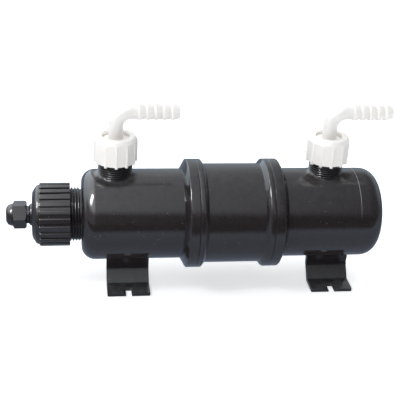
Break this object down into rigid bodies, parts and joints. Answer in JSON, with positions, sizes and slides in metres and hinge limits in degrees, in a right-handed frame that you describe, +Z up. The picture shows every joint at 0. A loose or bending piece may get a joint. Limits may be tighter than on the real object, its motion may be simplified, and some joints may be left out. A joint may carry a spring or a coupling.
{
  "type": "uv clarifier",
  "caption": "In-line ultraviolet water clarifier: black tube on two screw-down brackets, ribbed lamp cap with cable gland, and two swivelling barbed hose elbows.",
  "frame": {"origin": "in the plane of the brackets' feet, below the middle of the overall length", "axes": "+X along the tube from the lamp cap to the blind end, +Z up"},
  "size_m": [0.297, 0.086, 0.1526],
  "materials": {
    "black_moulded_plastic": "glossy black injection-moulded ABS",
    "white_moulded_plastic": "white injection-moulded nylon",
    "black_rubber": "moulded nitrile rubber",
    "quartz": "clear fused quartz",
    "ceramic": "unglazed white ceramic",
    "pin_brass": "turned brass",
    "wire_insulation": "white silicone insulation"
  },
  "bodies": {
    "housing": {"inlet_chamber": "black_moulded_plastic", "outlet_chamber": "black_moulded_plastic", "coupling_sleeve": "black_moulded_plastic", "inlet_retaining_ring": "black_moulded_plastic", "outlet_retaining_ring": "black_moulded_plastic", "inlet_seal_ring": "black_rubber", "outlet_seal_ring": "black_rubber", "inlet_bracket": "black_moulded_plastic", "outlet_bracket": "black_moulded_plastic"},
    "sleeve_unit": {"quartz_sleeve": "quartz", "sleeve_o_ring": "black_rubber"},
    "plug_unit": {"lamp_plug": "black_moulded_plastic", "lamp_socket": "ceramic"},
    "cap_nut": {"lamp_cap_nut": "black_moulded_plastic"},
    "lamp": {"lamp_base": "ceramic", "lamp_pins": "pin_brass", "lamp_tube": "quartz", "lamp_end_cap": "ceramic", "lamp_return_wire": "wire_insulation"},
    "gland_insert": {"gland_seal": "black_rubber"},
    "gland_cap": {"gland_nut": "black_moulded_plastic"},
    "inlet_gasket_ring": {"inlet_gasket": "black_rubber"},
    "inlet_tail": {"inlet_elbow": "white_moulded_plastic"},
    "inlet_union": {"inlet_union_nut": "white_moulded_plastic"},
    "outlet_gasket_ring": {"outlet_gasket": "black_rubber"},
    "outlet_tail": {"outlet_elbow": "white_moulded_plastic"},
    "outlet_union": {"outlet_union_nut": "white_moulded_plastic"}
  },
  "joints": [
    {"name": "sleeve_withdrawal", "type": "slide", "parent": "housing", "child": "sleeve_unit", "axis": [-1, 0, 0], "range_m": [0, 0.26]},
    {"name": "plug_lift", "type": "slide", "parent": "sleeve_unit", "child": "plug_unit", "axis": [-1, 0, 0], "range_m": [0, 0.0186]},
    {"name": "cap_nut_turn", "type": "hinge", "parent": "plug_unit", "child": "cap_nut", "pos_m": [-0.11, 0, 0.0603], "axis": [-1, 0, 0], "range_deg": [0, 2880]},
    {"name": "lamp_unplug", "type": "slide", "parent": "plug_unit", "child": "lamp", "axis": [1, 0, 0], "range_m": [0, 0.008]},
    {"name": "gland_insert_lift", "type": "slide", "parent": "plug_unit", "child": "gland_insert", "axis": [-1, 0, 0], "range_m": [0, 0.0086]},
    {"name": "gland_nut_turn", "type": "hinge", "parent": "gland_insert", "child": "gland_cap", "pos_m": [-0.14, 0, 0.0603], "axis": [-1, 0, 0], "range_deg": [0, 2160]},
    {"name": "inlet_gasket_lift", "type": "slide", "parent": "housing", "child": "inlet_gasket_ring", "axis": [0, 0, 1], "range_m": [0, 0.0128]},
    {"name": "inlet_elbow_swivel", "type": "hinge", "parent": "inlet_gasket_ring", "child": "inlet_tail", "pos_m": [-0.0652, 0, 0.1185], "axis": [0, 0, 1], "continuous": true},
    {"name": "inlet_union_turn", "type": "hinge", "parent": "inlet_gasket_ring", "child": "inlet_union", "pos_m": [-0.0652, 0, 0.1185], "axis": [0, 0, 1], "range_deg": [0, 2520]},
    {"name": "outlet_gasket_lift", "type": "slide", "parent": "housing", "child": "outlet_gasket_ring", "axis": [0, 0, 1], "range_m": [0, 0.0128]},
    {"name": "outlet_elbow_swivel", "type": "hinge", "parent": "outlet_gasket_ring", "child": "outlet_tail", "pos_m": [0.1005, 0, 0.1185], "axis": [0, 0, 1], "continuous": true},
    {"name": "outlet_union_turn", "type": "hinge", "parent": "outlet_gasket_ring", "child": "outlet_union", "pos_m": [0.1005, 0, 0.1185], "axis": [0, 0, 1], "range_deg": [0, 2520]}
  ],
  "couplings": [
    {"joint": "plug_lift", "follows": "cap_nut_turn", "m_per_rad": 0.00036749},
    {"joint": "gland_insert_lift", "follows": "gland_nut_turn", "m_per_rad": 0.00022441},
    {"joint": "inlet_gasket_lift", "follows": "inlet_union_turn", "m_per_rad": 0.00028871},
    {"joint": "outlet_gasket_lift", "follows": "outlet_union_turn", "m_per_rad": 0.00028871}
  ]
}
